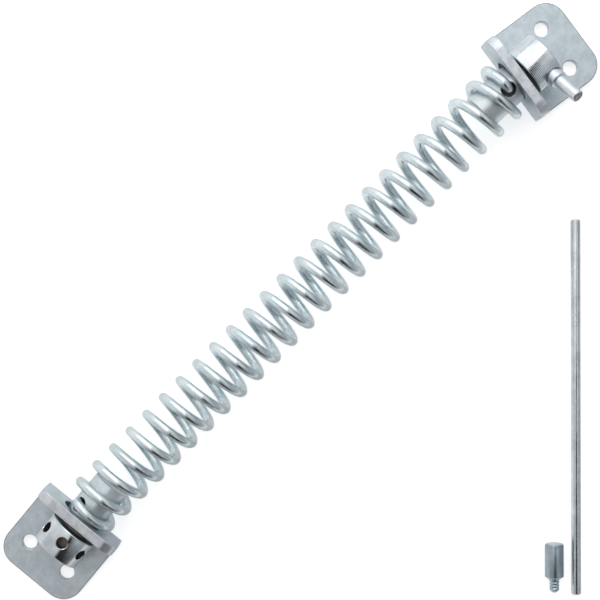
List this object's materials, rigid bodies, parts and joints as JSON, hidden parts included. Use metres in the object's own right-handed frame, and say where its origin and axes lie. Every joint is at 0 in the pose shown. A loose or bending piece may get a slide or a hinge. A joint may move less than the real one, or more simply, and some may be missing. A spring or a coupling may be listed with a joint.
{
  "type": "gate spring closer",
  "caption": "Torsion gate spring whose hooked ends turn barrels in pressed angle brackets, with a fixed stop pin, a loose stop pin and a tension rod for winding it up.",
  "frame": {"origin": "middle of the post bracket's screw holes, on the back face of its leaf", "axes": "+X along the spring from the post bracket to the gate bracket, +Z out of the leaves, away from the wood"},
  "size_m": [0.281, 0.1654, 0.0259],
  "materials": {
    "bracket_plate": "zinc plated, satin",
    "turned_barrel": "zinc plated over fine turning marks",
    "spring_wire": "zinc plated, bright",
    "pin_steel": "zinc plated, bright",
    "rod_steel": "zinc plated, bright",
    "loose_pin_steel": "zinc plated, dull"
  },
  "bodies": {
    "post_barrel": {"post_barrel": "turned_barrel", "torsion_spring": "spring_wire"},
    "post_bracket": {"post_bracket": "bracket_plate"},
    "gate_barrel": {"gate_barrel": "turned_barrel", "gate_stop_pin": "pin_steel"},
    "gate_bracket": {"gate_bracket": "bracket_plate"},
    "tension_rod": {"tension_rod": "rod_steel"},
    "loose_stop_pin": {"loose_stop_pin": "loose_pin_steel"}
  },
  "joints": [
    {"name": "post_bracket_turn", "type": "hinge", "parent": "post_barrel", "child": "post_bracket", "pos_m": [0.01984, 0.00098, 0.0133], "axis": [0.9976, 0.0698, 0], "continuous": true},
    {"name": "spring_twist", "type": "hinge", "parent": "post_barrel", "child": "gate_barrel", "pos_m": [0.2392, 0.00113, 0.0133], "axis": [0.9986, -0.0523, 0], "range_deg": [0, 170], "stiffness_Nm_per_rad": 1.04, "deforming": ["torsion_spring"]},
    {"name": "gate_bracket_turn", "type": "hinge", "parent": "gate_barrel", "child": "gate_bracket", "pos_m": [0.2392, 0.00113, 0.0133], "axis": [0.9986, -0.0523, 0], "range_deg": [-50, 170]},
    {"name": "rod_lift", "type": "slide", "parent": "post_barrel", "child": "tension_rod", "axis": [0, 0, 1], "range_m": [0, 0.06]},
    {"name": "pin_lift", "type": "slide", "parent": "post_barrel", "child": "loose_stop_pin", "axis": [0, 0, 1], "range_m": [0, 0.06]}
  ]
}
